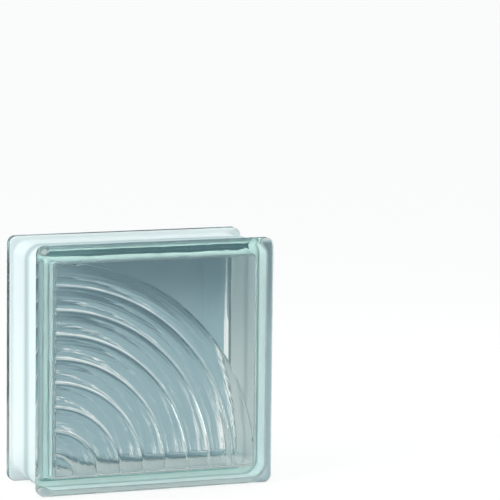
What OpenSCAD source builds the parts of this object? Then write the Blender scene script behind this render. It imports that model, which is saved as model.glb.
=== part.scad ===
// Hollow glass block: two pressed half shells fused into one sealed piece.
// It stands upright on its rims. The clear face looks along -Y, the satin face along +Y.
// Origin: the middle of the footprint, on the floor.

/* [Block] */
// Width of the block
block_w = 190; // [160:1:240]
// Height of the block
block_h = 190; // [160:1:240]
// Depth of the block, from face to face
block_d = 80; // [70:1:100]

/* [Rims] */
// Depth of each rim, from its face to the mortar groove
rim_d = 10; // [8:0.5:14]
// Radius of the four corners of each rim
rim_corner_r = 6; // [5:0.5:8]
// Fire-polished round along the edge of each face
face_edge_r = 4; // [1:0.25:4.5]
// Round along the edge of each rim beside the groove
groove_edge_r = 1.25; // [0.5:0.25:2]

/* [Mortar groove] */
// Depth of the groove beside the rims
groove_depth = 4; // [3:0.25:6]
// Radius of the four corners of the groove's floor beside the rims
groove_corner_r = 11; // [10:0.5:16]
// Hollow round where the groove's floor runs up to a rim
groove_flank_r = 2.25; // [1:0.25:2.5]
// Rise of the groove's floor from the rims to the seam
seam_rise = 0.8; // [0.25:0.05:1.5]
// Radius of the bead of glass along the seam
bead_r = 2.2; // [1.5:0.1:3]
// Height of that bead above the groove's floor
bead_rise = 0.7; // [0.3:0.05:1]

/* [Cavity] */
// Thickness of each face where it is flat
face_t = 9; // [7:0.25:12]
// Thickness of the side walls at the seam, below the bead
wall_t = 6.5; // [5:0.25:9]
// Draft of each half shell: the cavity narrows by this at each side, from the seam to the face
wall_draft = 3; // [1:0.25:3]
// Radius of the four corners of the cavity at the seam
cavity_corner_r = 6; // [6:0.5:10]
// Hollow round between the cavity's walls and its faces
cavity_round_r = 2; // [1:0.25:2.25]

/* [Ring relief] */
// Distance of the relief's edge from the cavity's walls
relief_edge = 2.3; // [2:0.1:2.8]
// Distance between two neighbouring rings
ring_pitch = 18.4; // [12:0.1:24]
// Number of rings
ring_count = 9; // [3:1:9]
// Depth of each ring's hollow below the inner face
ring_depth = 1.5; // [1:0.1:2]
// Width of the rounded crest between two hollows, at its foot
crest_w = 2.2; // [1.4:0.1:2.6]
// Radius of the crest's round
crest_r = 1.5; // [1.4:0.1:3]
// Depth of the crest's top below the inner face
crest_drop = 0.1; // [0.1:0.05:0.3]
// Distance of the rings' centre outside the relief's lower corner, in width and in height
ring_offset = 3; // [0:0.25:6]

/* [Hidden] */
$fn = 96;

// The groove's floor, as the outline of a core that joins the two rims
core_w = block_w - 2 * groove_depth;
core_h = block_h - 2 * groove_depth;
// Half of the depth between the rims
core_half_d = block_d / 2 - rim_d;
// How far the core reaches into each rim
core_overlap = (rim_d - face_edge_r) / 2;

// The cavity, at the seam
cavity_side = groove_depth - seam_rise + wall_t;
cavity_w = block_w - 2 * cavity_side;
cavity_h = block_h - 2 * cavity_side;
cavity_half_d = block_d / 2 - face_t;

// The relief's field on each inner face
relief_w = cavity_w - 2 * (wall_draft + relief_edge);
relief_h = cavity_h - 2 * (wall_draft + relief_edge);
relief_corner_r = cavity_corner_r - wall_draft - relief_edge;
// The relief's cut reaches this far into the cavity, past the hollow rounds
relief_reach = 2 * cavity_round_r;
// Depth of a crest's foot below the inner face
crest_foot = crest_drop + crest_r - sqrt(pow(crest_r, 2) - pow(crest_w / 2, 2));
// A ring's section is a shallow slice of a wide circle, between the feet of two crests
hollow_w = ring_pitch - crest_w;
hollow_sag = ring_depth - crest_foot;
hollow_r = (pow(hollow_w / 2, 2) + pow(hollow_sag, 2)) / (2 * hollow_sag);

// A solid with a rounded rectangular outline of size [w, h] and corner radius r.
// Its edge follows the child, a section drawn from the corner's axis (x = 0) outwards,
// with the depth of the block along y, from low to high.
module rounded_plate(w, h, r, low, high) {
    span_w = w - 2 * r;
    span_h = h - 2 * r;
    translate([-span_w / 2, -span_h / 2, low])
        cube([span_w, span_h, high - low]);
    for (turn = [0 : 3]) {
        along = turn % 2 == 0 ? span_h : span_w;
        out = turn % 2 == 0 ? span_w : span_h;
        rotate(turn * 90) {
            translate([out / 2, along / 2, 0])
                rotate_extrude(angle = 90) children();
            translate([out / 2, along / 2, 0])
                rotate([90, 0, 0])
                    linear_extrude(along) children();
        }
    }
}

// A quarter of a disc, to round the outer corner of a section
module quarter_disc(r) {
    intersection() {
        circle(r);
        square(r);
    }
}

// Section of a rim, from its groove side at y = 0 to its face at y = rim_d
module rim_section() {
    union() {
        square([rim_corner_r - face_edge_r, rim_d]);
        square([rim_corner_r - groove_edge_r, rim_d - face_edge_r]);
        translate([0, groove_edge_r])
            square([rim_corner_r, rim_d - face_edge_r - groove_edge_r]);
        translate([rim_corner_r - face_edge_r, rim_d - face_edge_r])
            quarter_disc(face_edge_r);
        translate([rim_corner_r - groove_edge_r, groove_edge_r])
            mirror([0, 1]) quarter_disc(groove_edge_r);
    }
}

// Section of the core between the rims: a floor that rises to the seam, its bead, and the
// hollow rounds up to the rims
module core_section() {
    seam_r = groove_corner_r + seam_rise;
    slant = norm([seam_rise, core_half_d]);
    flank_y = core_half_d - groove_flank_r;
    flank_x = seam_r + (groove_flank_r * slant - seam_rise * flank_y) / core_half_d;
    foot = [flank_x - groove_flank_r * core_half_d / slant, flank_y - groove_flank_r * seam_rise / slant];
    reach = core_half_d + core_overlap;
    union() {
        polygon([[0, -reach], [groove_corner_r, -reach], [groove_corner_r, -core_half_d], [seam_r, 0],
            [groove_corner_r, core_half_d], [groove_corner_r, reach], [0, reach]]);
        translate([seam_r - bead_r + bead_rise, 0]) circle(bead_r);
        for (side = [0, 1]) mirror([0, side])
            difference() {
                polygon([[0, foot[1]], foot, [flank_x, flank_y], [flank_x, reach], [0, reach]]);
                translate([flank_x, flank_y]) circle(groove_flank_r);
            }
    }
}

// Section of the cavity: two drafted walls that meet at the seam, rounded into the faces
module cavity_section() {
    slant = norm([wall_draft, cavity_half_d]);
    round_y = cavity_half_d - cavity_round_r;
    round_x = cavity_corner_r - (wall_draft * round_y + cavity_round_r * slant) / cavity_half_d;
    foot = [round_x + cavity_round_r * cavity_half_d / slant, round_y + cavity_round_r * wall_draft / slant];
    union() {
        polygon([[0, -cavity_half_d], [round_x, -cavity_half_d], [round_x, -round_y], [foot[0], -foot[1]],
            [cavity_corner_r, 0], foot, [round_x, round_y], [round_x, cavity_half_d], [0, cavity_half_d]]);
        for (side = [0, 1]) mirror([0, side])
            translate([round_x, round_y]) quarter_disc(cavity_round_r);
    }
}

// Outline of the relief's field
module relief_outline() {
    square([relief_w - 2 * relief_corner_r, relief_h], center = true);
    square([relief_w, relief_h - 2 * relief_corner_r], center = true);
    for (x = [-1, 1], y = [-1, 1])
        translate([x * (relief_w / 2 - relief_corner_r), y * (relief_h / 2 - relief_corner_r)])
            circle(relief_corner_r);
}

// Section through the rings from their shared centre, with y = 0 on the inner face: hollows side
// by side, and between them the rounded crests, left standing
module ring_section() {
    difference() {
        for (i = [0 : ring_count - 1])
            intersection() {
                translate([(i + 0.5) * ring_pitch, hollow_r - ring_depth]) circle(hollow_r);
                translate([i * ring_pitch, -ring_depth]) square([ring_pitch, ring_depth + relief_reach]);
            }
        for (i = [1 : ring_count])
            translate([i * ring_pitch, -crest_drop - crest_r]) circle(crest_r);
    }
}

// The rings cut into one inner face, in a quarter circle about the lower corner
module rings() {
    translate([0, 0, -cavity_half_d])
        intersection() {
            translate([-relief_w / 2 - ring_offset, -relief_h / 2 - ring_offset, 0])
                rotate_extrude(angle = 90) ring_section();
            translate([0, 0, -2 * ring_depth])
                linear_extrude(2 * ring_depth + 2 * relief_reach) relief_outline();
        }
}

// The sealed air space between the half shells
module cavity() {
    rounded_plate(cavity_w, cavity_h, cavity_corner_r, -cavity_half_d, cavity_half_d)
        cavity_section();
    rings();
    mirror([0, 0, 1]) rings();
}

// The outside: two rims and the core between them
module outside() {
    reach = core_half_d + core_overlap;
    rounded_plate(core_w, core_h, groove_corner_r, -reach, reach)
        core_section();
    for (side = [0, 1]) mirror([0, 0, side])
        translate([0, 0, core_half_d])
            rounded_plate(block_w, block_h, rim_corner_r, 0, rim_d)
                rim_section();
}

module glass_block() {
    color([0.72, 0.84, 0.85])
        translate([0, 0, block_h / 2])
            rotate([90, 0, 0])
                difference() {
                    outside();
                    cavity();
                }
}

glass_block();
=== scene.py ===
# %% [markdown]
# # A hollow glass block, dressed in Blender
#
# A glass block is two pressed half shells of glass, fused rim to rim around sealed air. One face
# is left clear, the other is etched to a satin, and the sides carry a pale coat that mortar grips.
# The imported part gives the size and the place. This lesson models the glass finely enough to
# refract light, gives each surface its finish, and sets up the light and the camera.

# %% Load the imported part
import math

import bmesh
import bpy
from mathutils import Matrix, Vector


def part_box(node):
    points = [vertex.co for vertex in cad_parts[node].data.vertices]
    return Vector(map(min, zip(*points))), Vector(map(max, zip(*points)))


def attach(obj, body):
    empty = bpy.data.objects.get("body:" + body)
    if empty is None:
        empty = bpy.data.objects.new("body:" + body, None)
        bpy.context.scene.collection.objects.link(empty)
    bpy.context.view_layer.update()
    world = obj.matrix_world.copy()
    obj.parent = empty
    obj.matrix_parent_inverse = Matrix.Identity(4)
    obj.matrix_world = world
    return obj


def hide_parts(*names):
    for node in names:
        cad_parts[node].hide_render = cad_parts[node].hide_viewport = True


mm = 0.001
right_angle = math.radians(90)

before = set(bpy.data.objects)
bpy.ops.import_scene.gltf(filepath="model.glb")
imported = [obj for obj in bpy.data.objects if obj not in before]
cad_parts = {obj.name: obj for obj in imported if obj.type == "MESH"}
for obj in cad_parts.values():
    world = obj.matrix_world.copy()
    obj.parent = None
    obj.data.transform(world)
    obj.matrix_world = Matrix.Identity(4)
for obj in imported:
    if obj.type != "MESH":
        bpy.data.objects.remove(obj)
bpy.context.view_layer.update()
low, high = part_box("glass_block")
block_w, block_d, block_h = high - low
middle = (low + high) / 2
print("block", [round(side / mm, 1) for side in (block_w, block_d, block_h)], "mm")

# %% [markdown]
# ## The camera
#
# A long lens far away keeps the block's edges nearly parallel. The camera stands a little to the
# left of the clear face and a little above it. Its three turns are given as a person at the tripod
# would set them: pan about the upright axis, tilt, and then a slight roll. A new camera looks
# straight down, so it is first raised by a right angle.

# %% Place the camera
camera_place = Vector((-0.9727, -2.5760, 0.5403))
camera_pan = math.radians(-22.433)
camera_tilt = math.radians(-7.450)
camera_roll = math.radians(-0.607)
camera_lens = 261.32
sensor_w = 36.0
view_end = 50

turn = Matrix.Rotation(camera_pan, 4, "Z") @ Matrix.Rotation(camera_tilt, 4, "X")
turn = turn @ Matrix.Rotation(camera_roll, 4, "Y") @ Matrix.Rotation(right_angle, 4, "X")
bpy.ops.object.camera_add()
camera = bpy.context.object
camera.name = "camera"
camera.matrix_world = Matrix.Translation(camera_place) @ turn
camera.data.sensor_width = sensor_w
camera.data.lens = camera_lens
camera.data.clip_end = view_end
bpy.context.scene.camera = camera
print("camera is", round((camera_place - middle).length, 3), "m from the block")

# %% [markdown]
# ## Helpers for modelling
#
# The glass is modelled by hand tools: loops are drawn, bridged and filled in edit mode. A new mesh
# starts empty, with everything else deselected, because a tool acts on all that is selected.

# %% Start and end a mesh
def start_mesh(name):
    """A new empty mesh object at the origin, open in edit mode."""
    bpy.ops.object.select_all(action="DESELECT")
    piece = bpy.data.objects.new(name, bpy.data.meshes.new(name))
    bpy.context.scene.collection.objects.link(piece)
    bpy.context.view_layer.objects.active = piece
    piece.select_set(True)
    bpy.ops.object.mode_set(mode="EDIT")
    return piece


def end_mesh(piece):
    """Leaves edit mode and says how large the mesh is."""
    bpy.ops.object.mode_set(mode="OBJECT")
    print(piece.name, len(piece.data.vertices), "points,", len(piece.data.polygons), "faces")

# %% [markdown]
# By hand, faces and edges are picked with the mouse. In a script they are picked by where they lie,
# measured from the middle of the block.

# %% Pick edges or faces by their place
def pick(piece, kind, test):
    """Selects those edges or faces of an open mesh whose middle passes the test."""
    bpy.ops.mesh.select_mode(type={"edges": "EDGE", "faces": "FACE"}[kind])
    bpy.ops.mesh.select_all(action="DESELECT")
    mesh = bmesh.from_edit_mesh(piece.data)
    for part in getattr(mesh, kind):
        corners = [point.co for point in part.verts]
        place = sum(corners, Vector()) / len(corners)
        part.select_set(test(part, place - middle))
    mesh.select_flush_mode()
    bmesh.update_edit_mesh(piece.data)

# %% [markdown]
# Nearly every edge of pressed glass is a round, so the sections below are drawn from arcs. A point
# of a section is a pair: how far it is inset from the block's outline, and its depth from the middle.

# %% Draw an arc of a section
def arc(centre, radius, start, end, steps):
    """Points on an arc. At 0 degrees it points along the first number, at 90 along the second."""
    turns = [math.radians(start + (end - start) * i / steps) for i in range(steps + 1)]
    return [(centre[0] + radius * math.cos(t), centre[1] + radius * math.sin(t)) for t in turns]

# %% [markdown]
# ## A loft of rounded rectangles
#
# Both the outside of the block and its air space are square in front view, with rounded corners,
# and change along the depth. A box with bevelled edges would come near, but it can't hold a groove
# and its rounds. So each skin is drawn as a row of rounded rectangles that lie one behind the
# other, and the row is bridged. A section lists them: how far each is inset from the block's
# outline, where it lies along the depth, and the radius of its corners.

# %% Loft a section
corner_steps = 12


def rounded_loop(inset, depth, corner_r):
    """Draws one rounded rectangle, parallel to the faces."""
    place = Vector((middle.x, middle.y + depth, middle.z))
    size = (block_w - 2 * inset, 1, block_h - 2 * inset)
    bpy.ops.mesh.select_all(action="DESELECT")
    bpy.ops.mesh.primitive_plane_add(size=1, location=place, rotation=(right_angle, 0, 0))
    bpy.ops.transform.resize(value=size, center_override=place)
    bpy.ops.mesh.bevel(offset=corner_r, offset_type="OFFSET", segments=corner_steps, affect="VERTICES")
    bpy.ops.mesh.delete(type="ONLY_FACE")


def loft(name, section):
    """Bridges the rounded rectangles of a section into one skin, left open in edit mode."""
    piece = start_mesh(name)
    bpy.ops.mesh.select_mode(type="VERT")
    for inset, depth, corner_r in section:
        rounded_loop(inset, depth, corner_r)
    bpy.ops.mesh.select_all(action="SELECT")
    bpy.ops.mesh.bridge_edge_loops()
    return piece


def both_halves(half):
    """A section from one face to the seam, followed by its mirror image to the other face."""
    return half + [(inset, -depth, corner_r) for inset, depth, corner_r in reversed(half[:-1])]

# %% [markdown]
# ## The outside
#
# From the clear face inwards: a broad fire-polished edge, the flat of the rim, a small round, and
# then the mortar groove, whose floor rises to a soft bead where the two halves were fused. A bevel
# on a finished box would give all these edges one radius, and each has its own, so they are drawn.

# %% Draw the section of the outside
half_d = block_d / 2
rim_d = 10 * mm
rim_corner_r = 6 * mm
face_edge_r = 4 * mm
face_edge_steps = 10
groove_edge_r = 1.25 * mm
groove_edge_steps = 5
groove_depth = 4 * mm
groove_corner_r = 11 * mm
groove_flank_r = 2.25 * mm
groove_flank_steps = 6
groove_half_d = half_d - rim_d
seam_rise = 0.8 * mm
bead_rise = 0.7 * mm
bead_half_w = 3 * mm
bead_steps = 6


def groove_floor(depth):
    """Inset of the groove's floor: it rises evenly to the seam and carries a soft bead there."""
    inset = groove_depth - seam_rise * (1 - abs(depth) / groove_half_d)
    if abs(depth) < bead_half_w:
        inset -= bead_rise * (1 + math.cos(math.pi * depth / bead_half_w)) / 2
    return inset


def outside_section():
    """The outline of the outside, from the clear face over the groove to the satin face."""
    edge_centre = (face_edge_r, face_edge_r - half_d)
    face_edge = arc(edge_centre, face_edge_r, 270, 180, face_edge_steps)
    back_centre = (groove_edge_r, -groove_half_d - groove_edge_r)
    rim_back = arc(back_centre, groove_edge_r, 180, 90, groove_edge_steps)[:-1]
    flank_depth = groove_flank_r - groove_half_d
    flank_centre = (groove_floor(flank_depth) - groove_flank_r, flank_depth)
    flank = arc(flank_centre, groove_flank_r, 270, 360, groove_flank_steps)
    bead_depths = [bead_half_w * (i / bead_steps - 1) for i in range(bead_steps + 1)]
    bead = [(groove_floor(depth), depth) for depth in bead_depths]
    rim = [(inset, depth, rim_corner_r - inset) for inset, depth in face_edge + rim_back]
    groove = [(inset, depth, groove_corner_r + groove_depth - inset) for inset, depth in flank + bead]
    return both_halves(rim + groove)


outside_loops = outside_section()
print("outside of", len(outside_loops), "loops")

# %% [markdown]
# The loft leaves the two faces open. Each is filled, and then inset by a narrow band. Smooth shading
# bends the light beside the round edge, and the band keeps that bend out of the face.

# %% Loft the outside and fill its faces
face_band = 1.5 * mm
level_gap = 0.01 * mm

outside = loft("glass_outside", outside_loops)
bpy.ops.mesh.select_all(action="SELECT")
bpy.ops.mesh.fill_holes(sides=0)
pick(outside, "faces", lambda face, place: abs(place.y) > half_d - level_gap)
bpy.ops.mesh.inset(thickness=face_band, depth=0)
bpy.ops.mesh.select_all(action="SELECT")
bpy.ops.mesh.normals_make_consistent(inside=False)
end_mesh(outside)

# %% [markdown]
# ## The air space
#
# The walls of the air space lean in towards each face, because the plunger that pressed them had
# to be drawn out, and a hollow round leads into the face. The same loft makes them. It stops on
# that round, where the rings run out.

# %% Model the walls of the air space
face_t = 9 * mm
wall_t = 6.5 * mm
wall_draft = 3 * mm
cavity_corner_r = 6 * mm
cavity_round_r = 2 * mm
cavity_round_steps = 10
relief_edge = 2.3 * mm
cavity_half_d = half_d - face_t
cavity_inset = groove_depth - seam_rise + wall_t
relief_inset = cavity_inset + wall_draft + relief_edge
lip_w = 0.8 * mm


def cavity_section():
    """The outline of the air space, from the edge of one ring relief to the other."""
    slant = math.atan2(wall_draft, cavity_half_d)
    round_depth = cavity_round_r - cavity_half_d
    wall_inset = cavity_inset + wall_draft * -round_depth / cavity_half_d
    round_inset = wall_inset + cavity_round_r / math.cos(slant)
    lip = math.degrees(math.acos((round_inset - relief_inset + lip_w) / cavity_round_r))
    wall_turn = 180 + math.degrees(slant)
    hollow = arc((round_inset, round_depth), cavity_round_r, 180 + lip, wall_turn, cavity_round_steps)
    wall = hollow + [(cavity_inset, 0)]
    return both_halves([(inset, depth, cavity_corner_r + cavity_inset - inset) for inset, depth in wall])


cavity_loops = cavity_section()
cavity = loft("glass_cavity", cavity_loops)
end_mesh(cavity)

# %% [markdown]
# ## The ring relief
#
# Each inner face has nine hollow rings, bent in quarter circles about its lower corner, and narrow
# rounded crests stand between them. A bump in the material couldn't bend the light as far as these
# crests do, so they are modelled. The plunger was turned on a lathe, and the relief is made the
# same way: one radial line over hollows and crests is spun through a quarter turn. Four cuts trim
# the spun sheet to a square field, and its edge is drawn up to the walls.

# %% Draw the radial line
ring_pitch = 18.4 * mm
ring_count = 9
ring_depth = 1.5 * mm
crest_w = 2.2 * mm
crest_r = 1.5 * mm
crest_drop = 0.1 * mm
ring_offset = 3 * mm
hollow_steps = 14
crest_steps = 8
reach_spare = 1.05
last_ring_r = ring_count * ring_pitch
crest_half = math.asin(crest_w / 2 / crest_r)
crest_foot = crest_drop + crest_r * (1 - math.cos(crest_half))
hollow_w = ring_pitch - crest_w
hollow_sag = ring_depth - crest_foot
hollow_r = ((hollow_w / 2) ** 2 + hollow_sag ** 2) / (2 * hollow_sag)
hollow_half = math.asin(hollow_w / 2 / hollow_r)
field_half_w = block_w / 2 - relief_inset
field_half_h = block_h / 2 - relief_inset
field_reach = reach_spare * math.hypot(2 * field_half_w + ring_offset, 2 * field_half_h + ring_offset)
ring_centre = middle - Vector((field_half_w + ring_offset, cavity_half_d, field_half_h + ring_offset))


def radial_line():
    """Points (radius, height above the inner face) from the rings' centre to past the far corner."""
    points = []
    dip = math.degrees(hollow_half)
    rise = math.degrees(crest_half)
    for ring in range(ring_count):
        hollow = ((ring + 0.5) * ring_pitch, hollow_r - ring_depth)
        crest = ((ring + 1) * ring_pitch, -crest_drop - crest_r)
        crest_end = 90 if ring == ring_count - 1 else 90 - rise
        points += arc(hollow, hollow_r, 270 - dip, 270 + dip, hollow_steps)
        points += arc(crest, crest_r, 90 + rise, crest_end, crest_steps)[1:-1]
    return points + [(last_ring_r, -crest_drop), (last_ring_r + crest_drop, 0), (field_reach, 0)]


ring_line = radial_line()
print("radial line of", len(ring_line), "points, hollows of radius", round(hollow_r / mm, 1), "mm")

# %% [markdown]
# The line starts as one point at the rings' centre and is extruded from point to point, as by hand
# with the E key. The spin turns it about an axis through that centre. A bisect that clears its outer
# side cuts like a saw, so one cut on each side leaves the square field.

# %% Spin it and trim it to its field
spin_steps = 88
merge_gap = 0.002 * mm

relief = start_mesh("ring_relief")
bpy.ops.mesh.select_mode(type="VERT")
bpy.ops.mesh.primitive_plane_add(size=mm, location=ring_centre)
bpy.ops.mesh.merge(type="CENTER")
reached = ring_centre
for radius, height in ring_line:
    point = ring_centre + Vector((radius, height, 0))
    bpy.ops.mesh.extrude_region_move(TRANSFORM_OT_translate={"value": point - reached})
    reached = point
bpy.ops.mesh.select_all(action="SELECT")
bpy.ops.mesh.spin(steps=spin_steps, angle=right_angle, center=ring_centre, axis=(0, 1, 0))

for axis, half in ((Vector((1, 0, 0)), field_half_w), (Vector((0, 0, 1)), field_half_h)):
    for side in (-1, 1):
        bpy.ops.mesh.select_all(action="SELECT")
        bpy.ops.mesh.bisect(plane_co=middle + side * half * axis, plane_no=side * axis, clear_outer=True)
bpy.ops.mesh.select_all(action="SELECT")
bpy.ops.mesh.remove_doubles(threshold=merge_gap)
end_mesh(relief)

# %% [markdown]
# The field ends in a small step beside the hollow round of the walls. Its border is extruded on the
# spot, and the new border is made a little wider and flattened to the depth where the walls begin.

# %% Draw its edge up to the walls
lip_share = 0.9
lip_depth = cavity_loops[0][1]

bpy.ops.object.mode_set(mode="EDIT")
pick(relief, "edges", lambda edge, place: edge.is_boundary)
bpy.ops.mesh.extrude_edges_move(TRANSFORM_OT_translate={"value": (0, 0, 0)})
lip_grow = [(half + lip_w * lip_share) / half for half in (field_half_w, field_half_h)]
lip_place = middle + Vector((0, lip_depth, 0))
bpy.ops.transform.resize(value=(lip_grow[0], 0, lip_grow[1]), center_override=lip_place)
end_mesh(relief)

# %% [markdown]
# The satin side has the same rings, right behind those of the clear side. So the relief is copied,
# and the copy is mirrored in depth about the middle of the block.

# %% Copy it to the satin side
bpy.ops.object.select_all(action="DESELECT")
relief.select_set(True)
bpy.context.view_layer.objects.active = relief
bpy.ops.object.duplicate()
relief_behind = bpy.context.object
bpy.ops.object.mode_set(mode="EDIT")
bpy.ops.mesh.select_all(action="SELECT")
bpy.ops.transform.resize(value=(1, -1, 1), center_override=middle)
end_mesh(relief_behind)

# %% [markdown]
# Both reliefs join the walls, and the narrow gap that is left on each side is filled. The glass lies
# around the air space, so the faces of this skin have to point into the air.

# %% Close the air space
bpy.ops.object.select_all(action="DESELECT")
for part in (relief, relief_behind, cavity):
    part.select_set(True)
bpy.context.view_layer.objects.active = cavity
bpy.ops.object.join()
bpy.ops.object.mode_set(mode="EDIT")
for side in (-1, 1):
    pick(cavity, "edges", lambda edge, place: edge.is_boundary and side * place.y > 0)
    bpy.ops.mesh.fill(use_beauty=True)
bpy.ops.mesh.select_all(action="SELECT")
bpy.ops.mesh.normals_make_consistent(inside=True)
end_mesh(cavity)

# %% [markdown]
# ## Marking the faces
#
# The block is one glass with four finishes: pressed walls, turned rings, an etched face and a coated
# groove. Light keeps count of the glass that it is inside of by the material that it came in by, so
# all of the block has to be one material. A number on each face tells that material which finish it
# has there. The marks are made while the outside and the air space are still two meshes, so that a
# face is found by its depth alone.

# %% Mark each face with its finish
etch_reach = 1 * mm
turned_gap = 0.05 * mm
turned_from = cavity_half_d - turned_gap
coat_half_d = 30.6 * mm
coat_rim = 0.5


def mark(piece, finish, share):
    """Stores on each face the share of a finish at the face's place, from 0 to 1."""
    marks = piece.data.attributes.new(finish, "FLOAT", "FACE")
    for face, value in zip(piece.data.polygons, marks.data):
        value.value = float(share(face.center - middle))
    print(finish, "faces:", sum(value.value > 0 for value in marks.data))


def coat_share(place):
    """The coat is whole in the groove, and thin on the back of the clear side's rim."""
    on_rim = place.y < groove_flank_r - groove_half_d
    return (abs(place.y) < coat_half_d) * (coat_rim if on_rim else 1)


mark(outside, "etched", lambda place: place.y > half_d - etch_reach)
mark(outside, "coated", coat_share)
mark(cavity, "turned", lambda place: abs(place.y) > turned_from)
mark(cavity, "pressed", lambda place: abs(place.y) <= turned_from)

# %% [markdown]
# The outside and the air space now become one object, with the air space as a hole inside the glass.
# No edge may be open, or light would count wrongly, so that is measured, with the volume.

# %% Join the two skins
smooth_angle = math.radians(30)
cm = 0.01

bpy.ops.object.select_all(action="DESELECT")
cavity.select_set(True)
outside.select_set(True)
bpy.context.view_layer.objects.active = outside
bpy.ops.object.join()
glass = bpy.context.object
glass.name = "pressed_glass"
bpy.ops.object.shade_smooth_by_angle(angle=smooth_angle)
skins = bmesh.new()
skins.from_mesh(glass.data)
print("open edges:", sum(not edge.is_manifold for edge in skins.edges))
print("glass volume:", round(skins.calc_volume(signed=True) / cm ** 3, 1), "cm3")
skins.free()

# %% [markdown]
# ## Helpers for nodes
#
# A finish is a tree of nodes. By hand they are added and linked in the shader editor. These helpers
# add one node each, or a small step that is needed often, and keep the trees short to write.

# %% Add nodes
white = (1, 1, 1, 1)


def add_node(tree, kind, inputs=None, **settings):
    """Adds a node. An input is a value, or the output of another node that feeds it."""
    node = tree.nodes.new("ShaderNode" + kind)
    for name, value in settings.items():
        setattr(node, name, value)
    for name, value in (inputs or {}).items():
        if isinstance(value, bpy.types.NodeSocket):
            tree.links.new(value, node.inputs[name])
        else:
            node.inputs[name].default_value = value
    return node


def math_node(tree, operation, *values):
    """The result of a sum on values or outputs."""
    return add_node(tree, "Math", dict(enumerate(values)), operation=operation).outputs[0]


def noise(tree, place, width):
    """Noise from 0 to 1 with features of about this width."""
    return add_node(tree, "TexNoise", {"Vector": place, "Scale": 1 / width}).outputs[0]


def fade(tree, value, start, end):
    """A smooth rise from 0 to 1 as a value goes from start to end."""
    span = {"Value": value, "From Min": start, "From Max": end}
    return add_node(tree, "MapRange", span, interpolation_type="SMOOTHSTEP").outputs[0]


def add_ramp(tree, value, colours):
    """Turns a value from 0 to 1 into a colour between two colours."""
    ramp = add_node(tree, "ValToRGB", {"Fac": value})
    for element, colour in zip(ramp.color_ramp.elements, colours):
        element.color = colour
    return ramp.outputs[0]

# %% [markdown]
# ## The glass
#
# Pressed glass has a faint blue green body colour that only shows where light travels far inside.
# A tinted surface would be as green in a thin face as in a thick rim. Absorption in the volume
# deepens with the path, as in the real thing. The marks on the faces are read as attributes.

# %% Make the glass
tint = (0.72, 0.89, 0.83, 1)
tint_density = 22
finishes = ("etched", "coated", "turned", "pressed")

block_glass = bpy.data.materials.new("block_glass")
block_glass.use_nodes = True
glass.data.materials.append(block_glass)
glass_tree = block_glass.node_tree
body = add_node(glass_tree, "VolumeAbsorption", {"Color": tint, "Density": tint_density})
glass_tree.links.new(body.outputs[0], glass_tree.nodes["Material Output"].inputs["Volume"])
on_glass = add_node(glass_tree, "TexCoord").outputs["Object"]
on = {name: add_node(glass_tree, "Attribute", attribute_name=name).outputs["Fac"] for name in finishes}
print("glass with the finishes", ", ".join(on))

# %% [markdown]
# ### Waves of the pressed walls
#
# The walls of the air space were formed by the plunger while the glass was soft, and they kept slow
# waves from it. The outside was fire-polished afterwards and is even. The waves are too low to
# change an outline, so they are a bump: noise gives their height.

# %% Make the waves
wave_w = 24 * mm
wave_h = 0.5 * mm

wave_height = math_node(glass_tree, "MULTIPLY", noise(glass_tree, on_glass, wave_w), wave_h)
pressed_height = math_node(glass_tree, "MULTIPLY", wave_height, on["pressed"])
print("waves", round(wave_w / mm, 1), "mm wide")

# %% [markdown]
# ### Lathe marks on the rings
#
# The plunger's rings were turned on a lathe, and its tool left fine marks that run along the arcs.
# Noise that changes fast with the radius and slowly with the turn about the rings' centre draws
# such streaks. A Mapping node moves the pattern's middle to that centre. The corner outside the
# last ring was not turned and stays clear, so the marks fade out there.

# %% Make the lathe marks
streak_w = 2.4 * mm
streak_h = 0.30 * mm
streak_turns = 2.0

centred = add_node(glass_tree, "Mapping", {"Vector": on_glass, "Location": -ring_centre}).outputs[0]
from_x, from_y, from_z = add_node(glass_tree, "SeparateXYZ", {"Vector": centred}).outputs
in_plane = add_node(glass_tree, "CombineXYZ", {"X": from_x, "Y": from_z}).outputs[0]
ring_r = add_node(glass_tree, "VectorMath", {0: in_plane}, operation="LENGTH").outputs["Value"]
ring_turn = math_node(glass_tree, "ARCTAN2", from_z, from_x)
fast = math_node(glass_tree, "DIVIDE", ring_r, streak_w)
slow = math_node(glass_tree, "MULTIPLY", ring_turn, streak_turns)
streaks = add_node(glass_tree, "CombineXYZ", {"X": fast, "Y": slow, "Z": from_y}).outputs[0]
streak_height = math_node(glass_tree, "MULTIPLY", noise(glass_tree, streaks, 1), streak_h)
in_rings = fade(glass_tree, ring_r, last_ring_r, last_ring_r - streak_w)
turned = math_node(glass_tree, "MULTIPLY", on["turned"], in_rings)
turned_height = math_node(glass_tree, "MULTIPLY", streak_height, turned)
print("lathe marks out to", round(last_ring_r / mm, 1), "mm from the rings' centre")

# %% [markdown]
# ### The satin etch
#
# Acid leaves a fine grain on the rear face: rough enough to soften what is seen through it, smooth
# enough that the rings still show. The grain is finer than the picture can show, so it is mostly
# roughness, a little uneven over the face, with a low bump. A thin veil keeps back a small share of
# the light, and makes the face a little milky.

# %% Make the satin etch
satin_veil = 0.03
satin_smooth = 0.20
satin_rough = 0.27
patch_w = 12 * mm
grain_w = 0.8 * mm
grain_h = 0.01 * mm

patches = noise(glass_tree, on_glass, patch_w)
satin_span = {"Value": patches, "To Min": satin_smooth, "To Max": satin_rough}
satin_face = add_node(glass_tree, "MapRange", satin_span).outputs[0]
satin = math_node(glass_tree, "MULTIPLY", satin_face, on["etched"])
grain_height = math_node(glass_tree, "MULTIPLY", noise(glass_tree, on_glass, grain_w), grain_h)
etched_height = math_node(glass_tree, "MULTIPLY", grain_height, on["etched"])
print("satin of roughness", satin_smooth, "to", satin_rough)

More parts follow.
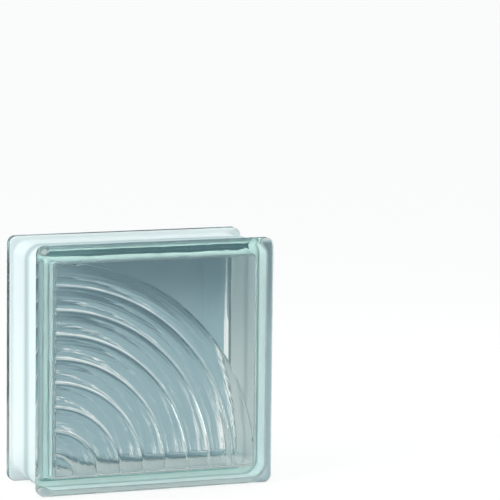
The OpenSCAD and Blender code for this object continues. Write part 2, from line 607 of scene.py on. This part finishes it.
# %% [markdown]
# ### The pale coat of the groove
#
# The groove is coated so that mortar grips the glass. The coat is thin and pale: some light passes
# and is spread, the rest is reflected. Near the seam its colour is darkened to grey, a painted shade
# for the side of the bead that faces away from the light.
# A skin of its own would be a second wall that light has to cross, so the coat is a finish.

# %% Make the groove coat
coat_pale = (0.88, 0.945, 0.945, 1)
seam_shade_colour = (0.54, 0.64, 0.66, 1)
coat_rough = 0.9
seam_shade_half_w = 9 * mm
coat_grain_w = 1.5 * mm
coat_grain_h = 0.05 * mm

# Painted shade: the coat's colour runs from a darker grey at the seam to its pale colour, for the shaded
# side of the bead.
depth_on_glass = add_node(glass_tree, "SeparateXYZ", {"Vector": on_glass}).outputs["Y"]
from_seam = math_node(glass_tree, "ABSOLUTE", depth_on_glass)
coat_and_seam_shade = add_ramp(glass_tree, fade(glass_tree, from_seam, 0, seam_shade_half_w), (seam_shade_colour, coat_pale))
coat = math_node(glass_tree, "MULTIPLY", on["coated"], coat_rough)
coat_height = math_node(glass_tree, "MULTIPLY", noise(glass_tree, on_glass, coat_grain_w), coat_grain_h)
coated_height = math_node(glass_tree, "MULTIPLY", coat_height, on["coated"])
# It prints how far from the seam the painted shade reaches.
print("coat thins out within", round(seam_shade_half_w / mm, 1), "mm of the seam")

# %% [markdown]
# ### All finishes on one shader
#
# Each finish is nought where its mark is nought, so the finishes are simply added up: their
# roughness, and their heights as one bump. The coat also changes the colour, lets less light
# through and bends it less, and the etch keeps back its veil. A Mix node has its two colours at
# sockets 6 and 7, and two plain values at 2 and 3.

# %% Put the finishes together
glass_ior = 1.52
coat_ior = 1.15
coat_clear = 0.42

pair = {0: on["coated"], 6: white, 7: coat_and_seam_shade}
colour = add_node(glass_tree, "Mix", pair, data_type="RGBA").outputs[2]
clear = math_node(glass_tree, "MULTIPLY_ADD", on["coated"], coat_clear - 1, 1.0)
clear = math_node(glass_tree, "MULTIPLY_ADD", on["etched"], -satin_veil, clear)
inner_height = math_node(glass_tree, "ADD", pressed_height, turned_height)
outer_height = math_node(glass_tree, "ADD", etched_height, coated_height)
height = math_node(glass_tree, "ADD", inner_height, outer_height)
finish_inputs = {
    "Base Color": colour,
    "Transmission Weight": clear,
    "Roughness": math_node(glass_tree, "ADD", satin, coat),
    "IOR": math_node(glass_tree, "MULTIPLY_ADD", on["coated"], coat_ior - glass_ior, glass_ior),
    "Normal": add_node(glass_tree, "Bump", {"Height": height, "Distance": 1.0, "Strength": 1.0}).outputs[0],
}
for name, output in finish_inputs.items():
    glass_tree.links.new(output, glass_tree.nodes["Principled BSDF"].inputs[name])
print("glass nodes:", len(glass_tree.nodes))

# %% [markdown]
# ## The white room
#
# Glass shows what is around it. To the camera the room is plain white. In gloss and through glass
# it is white behind and below the block, has some light behind the camera, and is dark elsewhere,
# which draws the dark lines in the rims. The light that falls on the block is a soft, even sky. Walls
# could be built for this, but a world of a few nodes has no edges that the glass would show.

# %% Set up the room
sky_colour = (0.95, 0.985, 0.99, 1)
sky_strength = 0.95
wall_way = Vector((0.32, 0.83, -0.45))
wall_from = 0.25
wall_to = 0.65
front_share = 0.35
room_far = (0.14, 0.20, 0.22, 1)


def white_in_view(tree, plain, bright, share=1.0):
    """Mixes a bright shader into a plain one for the camera, in gloss and through glass."""
    path = add_node(tree, "LightPath").outputs
    seen = math_node(tree, "MAXIMUM", path["Is Camera Ray"], path["Is Glossy Ray"])
    seen = math_node(tree, "MAXIMUM", seen, path["Is Transmission Ray"])
    part_seen = math_node(tree, "MULTIPLY", seen, share)
    return add_node(tree, "MixShader", {0: part_seen, 1: plain, 2: bright}).outputs[0]


room = bpy.data.worlds.new("studio")
room.use_nodes = True
bpy.context.scene.world = room
room_tree = room.node_tree
sky = room_tree.nodes["Background"]
sky.inputs["Color"].default_value = sky_colour
sky.inputs["Strength"].default_value = sky_strength
look_way = add_node(room_tree, "TexCoord").outputs["Generated"]
ways = {0: look_way, 1: wall_way}
to_wall = add_node(room_tree, "VectorMath", ways, operation="DOT_PRODUCT").outputs["Value"]
to_front = math_node(room_tree, "MULTIPLY", to_wall, -1)
front = math_node(room_tree, "MULTIPLY", fade(room_tree, to_front, wall_from, wall_to), front_share)
to_camera = add_node(room_tree, "LightPath").outputs["Is Camera Ray"]
room_lit = math_node(room_tree, "MAXIMUM", fade(room_tree, to_wall, wall_from, wall_to), to_camera)
room_lit = math_node(room_tree, "MAXIMUM", room_lit, front)
room_colour = add_ramp(room_tree, room_lit, (room_far, white))
room_white = add_node(room_tree, "Background", {"Color": room_colour, "Strength": 1.0}).outputs[0]
room_seen = white_in_view(room_tree, sky.outputs[0], room_white)
room_tree.links.new(room_seen, room_tree.nodes["World Output"].inputs["Surface"])
print("room nodes:", len(room_tree.nodes))

# %% [markdown]
# ## The white paper
#
# The block stands on white paper, which lies a hair below it so that the two share no plane. The
# paper is mostly plain white in view and keeps a share of its shading, so the block's soft shadow
# stays on it. It doesn't hold back the light from below and isn't seen through the glass, as if it
# were the thin white top of a light table.

# %% Lay out the paper
paper_w = 12
paper_gap = 0.2 * mm
paper_grey = (0.9, 0.9, 0.9, 1)
paper_rough = 0.8
paper_white_share = 0.8

bpy.ops.mesh.primitive_plane_add(size=paper_w, location=(0, 0, low.z - paper_gap))
floor = bpy.context.object
floor.name = "paper_floor"
paper = bpy.data.materials.new("white_paper")
paper.use_nodes = True
floor.data.materials.append(paper)
paper_tree = paper.node_tree
paper_shader = paper_tree.nodes["Principled BSDF"]
paper_shader.inputs["Base Color"].default_value = paper_grey
paper_shader.inputs["Roughness"].default_value = paper_rough
paper_white = add_node(paper_tree, "Emission", {"Color": white, "Strength": 1.0}).outputs[0]
paper_seen = white_in_view(paper_tree, paper_shader.outputs[0], paper_white, paper_white_share)
paper_tree.links.new(paper_seen, paper_tree.nodes["Material Output"].inputs["Surface"])
floor.visible_diffuse = False
floor.visible_shadow = False
floor.visible_transmission = False
print("paper", paper_w, "m wide")

# %% [markdown]
# ## The grey card
#
# On plain white, clear glass all but vanishes. Glass is photographed with a grey card behind it,
# out of the camera's sight, so that its faces read as a tone and its crests as bright lines. This
# card stands behind the block. A flap at its top reaches forward over the block, a tail slopes away
# from its foot, and a step is cut from its lower right corner, which lets the white in there. A
# narrow dark strip of it lies under the rear rim, as a painted shadow of the block.

# %% Cut the card
card_left = -1.0
card_right = 1.5
card_y = 0.35
card_low = -0.02
card_top = 0.45
card_flap = 0.50
step_x = 0.27
step_z = 0.06
tail = Vector((0, 0.65, -0.28))
shadow_strip_y = (0.030, 0.075)
shadow_strip_z = low.z - paper_gap / 2


def add_sheet(corner, size):
    """Adds a flat sheet to the open mesh. One of its three sizes is nought and isn't scaled."""
    way = (right_angle, 0, 0) if size.y == 0 else (0, 0, 0)
    place = corner + size / 2
    bpy.ops.mesh.primitive_plane_add(size=1, location=place, rotation=way)
    bpy.ops.transform.resize(value=[side or 1 for side in size], center_override=place)


card = start_mesh("grey_card")
# The last sheet is the dark strip under the rear rim, a painted shadow of the block.
sheets = (
    ((card_left, card_right), (card_y, card_y), (step_z, card_top)),
    ((card_left, step_x), (card_y, card_y), (card_low, step_z)),
    ((card_left, card_right), (card_y - card_flap, card_y), (card_top, card_top)),
    ((card_left, step_x), shadow_strip_y, (shadow_strip_z, shadow_strip_z)),
)
for spans in sheets:
    starts, ends = (Vector(corner) for corner in zip(*spans))
    add_sheet(starts, ends - starts)
pick(card, "edges", lambda edge, place: place.z + middle.z < card_low + level_gap)
bpy.ops.mesh.extrude_edges_move(TRANSFORM_OT_translate={"value": tail})
end_mesh(card)

# %% [markdown]
# The card's tone runs from 0, pale, to 1, dark. At the left it is mottled and darkens with the
# height. At the right it is even, and darkest at the top. Close to the block, on the strip and on
# the front of the flap, it is darkened by a painted shadow. The card glows with its tone by itself,
# so no lamp has to be set for it, and it lights nothing: the camera doesn't see it, it casts no
# shadow, and it is met only in gloss and through glass.

# %% Tone the card
card_pale = (0.53, 0.77, 0.84, 1)
card_dark = (0.05, 0.13, 0.17, 1)
card_fade = (-0.45, 0.10)
mottle_w = 0.03
mottle_share = 0.5
mottle_fade = (0.38, 0.62)
shadow_y = (0.09, 0.030)
even_x = (0.02, 0.10)
even_z = (0.05, 0.12)
even_low = 0.55

grey = bpy.data.materials.new("grey_card")
grey.use_nodes = True
card.data.materials.append(grey)
card_tree = grey.node_tree
on_card = add_node(card_tree, "TexCoord").outputs["Object"]
across, back, up = add_node(card_tree, "SeparateXYZ", {"Vector": on_card}).outputs
slow_tone = math_node(card_tree, "MULTIPLY", fade(card_tree, up, *card_fade), 1 - mottle_share)
mottled = fade(card_tree, noise(card_tree, on_card, mottle_w), *mottle_fade)
tone = math_node(card_tree, "MULTIPLY_ADD", mottled, mottle_share, slow_tone)
# Painted shadow: the tone is darkened close to the block, on the strip and on the front of the flap.
tone = math_node(card_tree, "MAXIMUM", tone, fade(card_tree, back, *shadow_y))
even = math_node(card_tree, "MULTIPLY_ADD", fade(card_tree, up, *even_z), 1 - even_low, even_low)
tone = add_node(card_tree, "Mix", {0: fade(card_tree, across, *even_x), 2: tone, 3: even}).outputs[0]
toned = add_ramp(card_tree, tone, (card_pale, card_dark))
glow = add_node(card_tree, "Emission", {"Color": toned, "Strength": 1.0})
card_tree.links.new(glow.outputs[0], card_tree.nodes["Material Output"].inputs["Surface"])
card.visible_camera = False
card.visible_diffuse = False
card.visible_shadow = False
print("card nodes:", len(card_tree.nodes))

# %% [markdown]
# ## Lamps
#
# Three soft boxes light the block: a strong one at the left, a small one at the right and a faint
# one above, at the level at which a colour looks as it is written. They put the thin lights on the
# rounded rims and on the crests. Each is turned to face the middle of the block.

# %% Hang the lamps
lamps = (
    ("left_lamp", Vector((-0.9, -0.3, 0.7)), 0.6, 8),
    ("right_lamp", Vector((0.9, 0.15, 0.3)), 0.4, 2.5),
    ("top_lamp", Vector((0.2, 0.1, 1.2)), 0.8, 0.5),
)
for name, lamp_place, size, power in lamps:
    bpy.ops.object.light_add(type="AREA", location=lamp_place)
    lamp = bpy.context.object
    lamp.name = name
    lamp.data.size = size
    lamp.data.energy = power
    lamp.rotation_euler = (middle - lamp_place).to_track_quat("-Z", "Y").to_euler()
    print(name, size, "m wide,", power, "W")

# %% [markdown]
# ## Last settings
#
# The glass rides on the imported part's one body and stands for its one node. Light may cross many
# surfaces in hollow glass, so its rays get more bounces than usual.

# %% Finish
light_bounces = 24
scene = bpy.context.scene
scene.view_settings.view_transform = "Standard"
scene.cycles.max_bounces = light_bounces
scene.cycles.transmission_bounces = light_bounces
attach(glass, "root")
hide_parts("glass_block")
